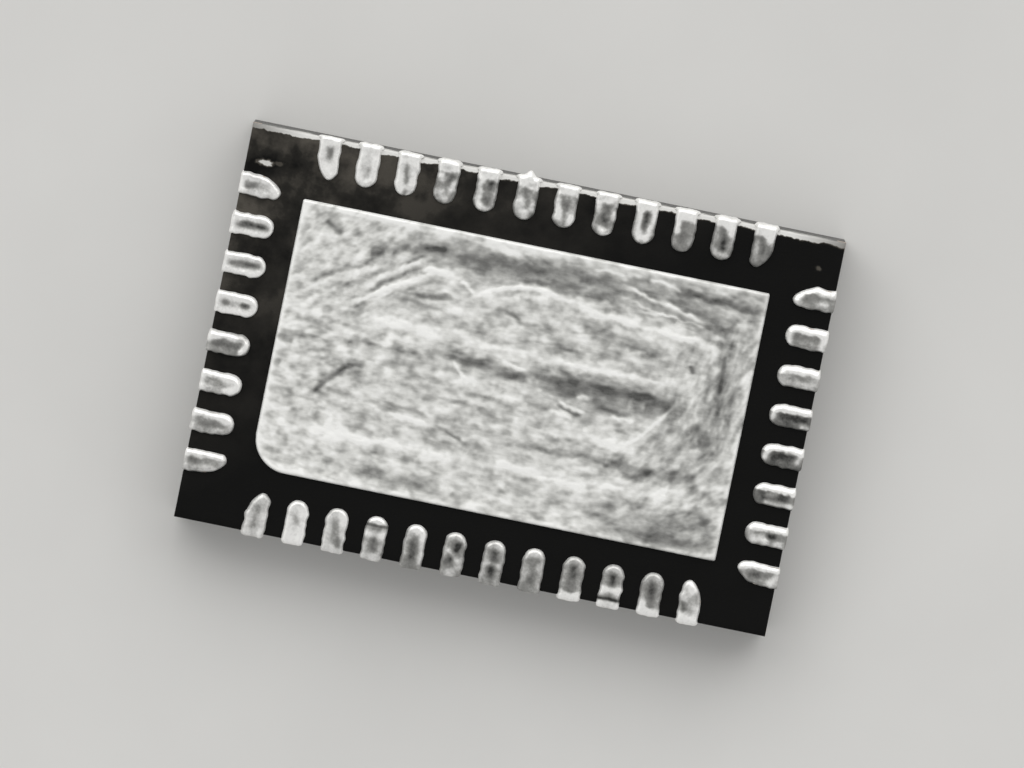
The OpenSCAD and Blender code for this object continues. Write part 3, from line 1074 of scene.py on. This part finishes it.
wipePatches = [  # middle, reach and direction of the strokes in each part of the pad
    ((-1.60, 0.85), 0.55, 38),
    ((-0.60, 1.00), 0.50, 10),
    ((0.30, 1.00), 0.50, -1),
    ((1.20, 0.95), 0.60, -10),
    ((-1.75, -0.05), 0.60, 8),
    ((-0.60, 0.20), 0.70, -2),
    ((0.80, 0.15), 0.70, 0),
    ((1.95, 0.30), 0.40, 78),
    ((1.55, -0.45), 0.40, 48),
    ((-1.40, -0.85), 0.70, -6),
    ((-0.20, -0.75), 0.70, -4),
    ((0.95, -0.95), 0.60, 4),
    ((2.00, -1.00), 0.40, 30),
]
padMarks = {  # start, end, bow to the left, half width and tone of the marks that stand out
    "darkArch": [
        ((-1.6, 0.96), (-0.85, 1.13), 0.04, 0.06, -0.3), ((-1.6, 0.95), (-1.46, 0.98), 0, 0.035, -0.22),
        ((-1.1, 1.12), (-0.86, 1.16), 0, 0.026, -0.22), ((-1, 1.09), (0.75, 1.13), 0.01, 0.115, -0.28),
        ((0.66, 1.1), (2, 0.93), 0.05, 0.13, -0.29), ((-0.12, 1), (0.58, 0.97), 0, 0.035, -0.22),
        ((-1.12, 1), (-0.76, 1), 0, 0.03, -0.18), ((-0.65, 1.08), (0.3, 1.13), 0, 0.055, -0.12),
        ((0.18, 1.05), (0.55, 1.03), 0.01, 0.035, -0.2), ((1.47, 1.21), (2.34, 1.15), 0, 0.05, -0.36),
        ((0.98, 1.25), (1.18, 1.24), 0, 0.035, -0.22), ((-1.96, 1.02), (-1.74, 1), 0, 0.04, -0.22),
    ],
    "brightLines": [
        ((0.96, 1.12), (1.74, 0.95), 0.02, 0.021, 0.54), ((0.6, 1.25), (0.92, 1.26), 0, 0.016, 0.3),
        ((1.18, 1.27), (1.5, 1.19), 0.01, 0.018, 0.34), ((1.17, 0.95), (1.8, 0.9), 0.01, 0.014, 0.3),
        ((1.02, 1.01), (1.42, 0.93), 0.01, 0.013, 0.24), ((-0.52, 1.26), (-0.11, 1.25), 0, 0.035, 0.4),
        ((-2.22, 1.3), (0.3, 1.3), 0, 0.022, 0.22),
    ],
    "fan": [
        ((-1.66, 0.46), (-0.8, 0.95), 0.03, 0.026, 0.4),
        ((-1.58, 0.64), (-1.04, 1.02), 0.02, 0.028, 0.34),
        ((-1.54, 0.59), (-1.05, 0.93), 0.02, 0.02, -0.22),
        ((-1.44, 0.5), (-0.92, 0.8), 0.03, 0.026, -0.22),
        ((-1.68, 0.62), (-1.38, 0.86), 0.02, 0.026, -0.2),
        ((-1.3, 0.88), (-1.05, 1.05), 0.01, 0.022, -0.2),
        ((-2.02, 0.63), (-1.58, 0.85), 0.02, 0.035, -0.24),
    ],
    "brightArch": [
        ((-1.08, 0.9), (-0.66, 0.9), 0.03, 0.025, 0.36), ((-0.67, 0.87), (-0.51, 0.77), 0, 0.018, 0.38),
        ((-0.52, 0.76), (-0.03, 0.94), 0.02, 0.022, 0.44),
        ((-0.06, 0.94), (0.69, 0.82), 0.03, 0.03, 0.38), ((0.65, 0.82), (1.12, 0.79), 0, 0.032, 0.38),
        ((-0.12, 0.83), (0.16, 0.84), 0, 0.04, 0.2), ((1.64, 0.72), (1.88, 0.7), 0, 0.04, 0.2),
        ((1.07, 0.79), (1.95, 0.72), 0.01, 0.03, 0.3),
    ],
    "underArch": [
        ((-1.22, 0.63), (-0.66, 0.68), 0.01, 0.03, -0.32),
        ((-1.26, 0.57), (-0.72, 0.51), 0.02, 0.026, -0.2),
        ((0.62, 0.66), (1.42, 0.55), 0.02, 0.06, -0.22), ((0.97, 0.57), (1.39, 0.53), 0, 0.028, -0.2),
        ((-0.28, 0.68), (0, 0.58), 0.01, 0.03, -0.34), ((-0.7, 0.58), (-0.36, 0.6), 0, 0.07, 0.22),
        ((0.34, 0.67), (0.62, 0.65), 0, 0.04, 0.18), ((1.24, 0.67), (1.52, 0.66), 0, 0.03, 0.22),
        ((-1.58, 0.5), (-1.34, 0.52), 0, 0.07, 0.18), ((0.11, 0.43), (0.69, 0.41), 0.01, 0.02, -0.18),
    ],
    "upperBand": [
        ((-1.48, 0.3), (1.6, 0.26), 0.01, 0.045, 0.22), ((0.48, 0.27), (1.54, 0.26), 0, 0.022, 0.22),
        ((-1.43, 0.36), (-0.82, 0.32), 0.01, 0.06, 0.16), ((-1.28, 0.2), (-1, 0.19), 0, 0.05, 0.26),
        ((-2.17, 0.25), (-1.96, 0.26), 0, 0.05, 0.24),
    ],
    "lens": [
        ((-0.52, 0.1), (0.12, 0.05), 0, 0.07, -0.36), ((-0.9, 0.14), (-0.46, 0.12), 0, 0.028, -0.18),
        ((0.04, 0.08), (0.52, 0.08), 0, 0.065, -0.24), ((0.4, 0.05), (1.8, 0.02), 0, 0.13, -0.33),
        ((0.56, 0.12), (1.06, 0.1), 0, 0.055, -0.22), ((1, 0.14), (1.62, 0.09), 0, 0.05, -0.28),
        ((0.46, 0.01), (0.7, -0.02), 0, 0.04, -0.12), ((1.42, 0.05), (1.64, 0.02), 0, 0.04, -0.18),
        ((1.2, 0.01), (1.37, 0), 0, 0.05, 0.24), ((0.68, -0.02), (0.86, -0.01), 0, 0.024, 0.3),
        ((0.88, -0.09), (1.14, -0.1), 0, 0.03, -0.24), ((1.06, -0.15), (1.28, -0.17), 0, 0.022, 0.36),
        ((-0.74, -0.07), (-0.32, -0.11), 0, 0.045, 0.26), ((-0.4, -0.14), (0.06, -0.17), 0, 0.045, 0.26),
        ((0.22, -0.29), (0.46, -0.31), 0, 0.05, 0.22), ((1.06, -0.31), (1.36, -0.33), 0, 0.05, 0.26),
        ((-2.34, -0.02), (-2.18, -0.05), 0, 0.05, -0.28), ((-2.36, -0.25), (-2.26, -0.29), 0, 0.04, -0.3),
        ((-0.11, 0.16), (0.15, 0.12), 0, 0.018, 0.5), ((0.53, -0.1), (0.79, -0.16), 0, 0.02, 0.52),
        ((0.51, -0.15), (0.76, -0.21), 0, 0.02, -0.44), ((0.44, -0.21), (0.69, -0.26), 0, 0.02, 0.36),
        ((-1.62, 0.08), (-0.76, 0.09), 0, 0.03, -0.16), ((-2.33, 0.04), (-1.8, 0.01), 0.01, 0.025, -0.22),
        ((-0.58, 0.08), (-0.41, -0.1), 0, 0.018, 0.42),
    ],
    "rightArc": [
        ((1.66, 0.09), (1.16, -0.47), 0.04, 0.022, 0.28),
        ((1.62, -0.04), (1.27, -0.44), 0.04, 0.05, 0.12),
    ],
    "lowerLeft": [
        ((-1.89, -0.51), (-1.57, -0.16), 0.03, 0.034, -0.44),
        ((-1.44, -0.17), (-1.14, -0.19), 0, 0.045, 0.24),
        ((-1.48, -0.43), (-1.22, -0.43), 0, 0.045, 0.22), ((-2.14, -0.5), (-2.08, -0.68), 0, 0.05, -0.22),
        ((-2.17, -0.96), (-2.04, -1), 0, 0.05, -0.22),
        ((-0.73, -0.31), (-0.12, -0.35), 0.01, 0.028, -0.22),
        ((-1.18, -0.47), (-0.73, -0.51), 0.02, 0.018, -0.28),
        ((-1.15, -0.56), (-0.71, -0.61), 0.02, 0.024, 0.34),
        ((-0.64, -0.59), (-0.34, -0.7), 0.01, 0.02, -0.32),
    ],
    "lowerRight": [
        ((0.33, -0.59), (1.48, -0.62), 0, 0.045, -0.24),
        ((1.24, -0.68), (1.58, -0.59), -0.05, 0.032, -0.28),
        ((1.48, -0.63), (2.04, -0.65), 0.02, 0.07, -0.3), ((-0.12, -0.48), (0.22, -0.48), 0, 0.05, 0.24),
        ((0.53, -0.4), (1.36, -0.45), 0, 0.06, 0.22),
    ],
    "lowerBand": [
        ((-2.23, -0.87), (2, -0.84), 0, 0.05, 0.24), ((-1.9, -0.84), (-1.18, -0.89), 0, 0.03, 0.16),
        ((0.31, -0.88), (0.95, -0.89), 0, 0.022, 0.26), ((-0.12, -1.14), (0.28, -1.18), 0, 0.05, 0.24),
        ((-1.86, -1), (-1.64, -1), 0, 0.05, 0.2), ((1.15, -0.76), (1.94, -0.76), 0, 0.03, 0.18),
    ],
    "greyEnds": [
        ((-1.25, -1.16), (-0.45, -1.22), 0, 0.09, -0.2), ((1.02, -1.14), (2.3, -1.09), 0, 0.19, -0.2),
        ((1.4, -1.24), (2.25, -1.28), 0, 0.06, -0.32), ((2.05, 0.93), (2.07, -0.42), 0, 0.16, -0.16),
        ((2.05, 0.67), (2.07, 0.25), 0, 0.028, -0.32), ((1.73, 0.5), (1.77, 0.42), 0, 0.03, -0.36),
        ((1.93, 0.86), (1.95, 0.56), 0, 0.045, 0.26), ((2.02, -0.86), (2.22, -1), 0, 0.05, -0.26),
        ((1.86, -0.06), (2.08, -0.24), 0, 0.06, -0.22), ((-2.1, 1.19), (-1.91, 1.1), 0, 0.045, -0.42),
    ],
}


def cornerDrop(depth, radius):  # how far a round corner falls back, at a distance in from the end
    return radius - math.sqrt(radius ** 2 - (radius - depth) ** 2) if depth < radius else 0.0


def padEdges(x):
    depth = padHalfX - abs(x)
    low = -padHalfY + cornerDrop(depth, padSolder["indexRadius"] if x < 0 else padSolder["cornerRadius"])
    high = padHalfY - cornerDrop(depth, padSolder["cornerRadius"])
    return low, high


def padDepth(x, y):
    radius = padSolder["indexRadius"]
    cornerX, cornerY = -padHalfX + radius, -padHalfY + radius
    depth = min(padHalfX - abs(x), padHalfY - abs(y))
    if x < cornerX and y < cornerY:
        depth = radius - math.hypot(x - cornerX, y - cornerY)
    return max(depth, 0.0)


def patchShares(x, y):  # how much each patch of strokes counts at this place
    shares = []
    for (middleX, middleY), reach, turn in wipePatches:
        shares.append(math.exp(-((x - middleX) ** 2 + (y - middleY) ** 2) / reach ** 2) + wipeFar)
    return shares


def strokeTurn(x, y):  # direction in which the pad was wiped at this place, in degrees
    shares = patchShares(x, y)
    return sum(share * patch[2] for share, patch in zip(shares, wipePatches)) / sum(shares)


def wipedNoise(x, y, kind):  # noise drawn out in the wiping direction of each patch
    along, across, layer = wipeNoises[kind]
    shares = patchShares(x, y)
    least = wipeLeast * max(shares)
    value = power = 0.0
    for index, share in enumerate(shares):
        if share > least:
            turn = math.radians(wipePatches[index][2])
            forward = x * math.cos(turn) + y * math.sin(turn)
            sideways = y * math.cos(turn) - x * math.sin(turn)
            scale = (along, across, layer + wipeLayers * index)
            value += (share - least) * noiseAt((forward, sideways, 1), scale, *wipeDetail)
            power += (share - least) ** 2
    return value / math.sqrt(power)


def padNoise(x, y, kind):
    return noiseAt((x, y, 1), *padNoises[kind])


def sideShare(x, y, sides):
    return sum(strength * smoothStep(x * way[0] + y * way[1], *span) for way, span, strength in sides)


def looseStrokes():  # the short strokes that fill the pad between the marks
    dice = random.Random(padSolder["seed"])
    strokes = []
    for count in range(padSolder["strokes"]):
        x = dice.uniform(-0.5, 0.5) * padSolder["length"]
        y = dice.uniform(-0.5, 0.5) * padSolder["width"]
        length = dice.uniform(*padSolder["strokeLength"])
        turn = math.radians(strokeTurn(x, y) + dice.gauss(0, padSolder["strokeStray"]))
        stepX, stepY = math.cos(turn) * length / 2, math.sin(turn) * length / 2
        bend = strokeTurn(x + stepX, y + stepY) - strokeTurn(x - stepX, y - stepY)
        bow = -math.radians(bend) * length / 8
        half = dice.uniform(*padSolder["strokeHalf"])
        tone = dice.choice((-1, 1)) * dice.uniform(*padSolder["strokeTone"])
        strokes.append(((x - stepX, y - stepY), (x + stepX, y + stepY), bow, half, tone))
    return strokes


def layStrokes(places, strokes):  # sums the strokes at every place on the pad, column by column
    columns = {}
    for index, (x, y) in enumerate(places):
        columns.setdefault(round(x, 5), []).append((y, index))
    columns = sorted(columns.items())
    marks = [0.0] * len(places)
    for start, end, bow, half, tone in strokes:
        margin = 2 * half + abs(bow)
        lowX, highX = min(start[0], end[0]) - margin, max(start[0], end[0]) + margin
        lowY, highY = min(start[1], end[1]) - margin, max(start[1], end[1]) + margin
        for x, column in columns:
            if lowX < x < highX:
                for y, index in column:
                    if lowY < y < highY:
                        marks[index] += tone * strokeShare(x, y, start, end, bow, half)
    return marks


def padHeight(depth, blotch, patchy, mark, stroke):  # above the land
    rim = padSolder["rimRise"] * math.exp(-(depth / padSolder["rimReach"]) ** 2)
    top = padSolder["film"] + rim + padSolder["swell"] * blotch
    top += padSolder["relief"] * (mark + stroke + padSolder["patchRelief"] * patchy)
    top = max(top, padSolder["leastFilm"])
    return -landStep - leadSolder["landSink"] + (top + landStep) * shoulder(depth, padSolder["rimWidth"])


def edgeTone(x, y, depth):  # the pad is pale along its edge, but not all round
    frayed = smoothStep(padNoise(x, y, "frayed"), *padTone["edgeFray"])
    corner = smoothStep(-y, *padDull["cornerAcross"])
    dull = padDull["endShare"] * smoothStep(x, *padDull["end"])
    dull += padDull["cornerShare"] * smoothStep(x, *padDull["cornerAlong"]) * corner
    least = padTone["edgeLeast"]
    tone = padTone["edge"] * math.exp(-(depth / padTone["edgeReach"]) ** 2)
    return tone * (least + (1 - least) * frayed) * (1 - dull)


def toneOfPad(x, y, depth, blotch, patchy, mark, stroke):
    calm = 1 - padTone["calm"] * smoothStep(-mark, *padTone["calmRange"])
    grain = padTone["grain"] + sideShare(x, y, padGrains)
    tone = padTone["middle"] + padTone["mark"] * mark + padTone["blotch"] * blotch
    tone += edgeTone(x, y, depth)
    tone += calm * (stroke + padTone["patchy"] * patchy + grain * wipedNoise(x, y, "mottle"))
    tone += sideShare(x, y, padShades)
    return clamp(tone, *padTone["range"])


def dressPad():
    piece = newGrid("solder_pad", *padSolder["cells"])
    last = padSolder["lastColumn"]
    most = padSolder["strokeMost"]
    places = []
    for vertex in piece.data.vertices:
        x = clamp(vertex.co.x, -last, last) * padHalfX
        low, high = padEdges(x)
        places.append((x, (low + high) / 2 + vertex.co.y * (high - low) / 2))
    wavy = [(x, y + padSolder["markWave"] * padNoise(x, y, "markWave")) for x, y in places]
    loose = layStrokes(places, looseStrokes())
    marks = layStrokes(wavy, [stroke for group in padMarks.values() for stroke in group])
    tones = []
    for vertex, (x, y), stroke, mark in zip(piece.data.vertices, places, loose, marks):
        depth = padDepth(x, y)
        blotch = padNoise(x, y, "blotch")
        patchy = wipedNoise(x, y, "patchy")
        broken = smoothStep(padNoise(x, y, "broken"), *padTone["markBreaks"])
        mark *= padTone["markLeast"] + padTone["markMore"] * broken
        stroke = most * math.tanh(stroke / most)
        vertex.co = (x, y, padLevel + padHeight(depth, blotch, patchy, mark, stroke))
        tones.append(toneOfPad(x, y, depth, blotch, patchy, mark, stroke))
    keepTones(piece, tones)
    selectRim(piece)
    bpy.ops.mesh.extrude_region_move(TRANSFORM_OT_translate={"value": (0, 0, -padSolder["foot"])})
    bpy.ops.mesh.edge_face_add()
    bpy.ops.object.mode_set(mode="OBJECT")
    finishPiece(piece, "tinned_copper", padSolder["smoothAngle"], padSolderFinish)


dressPad()
print("pad solder made")
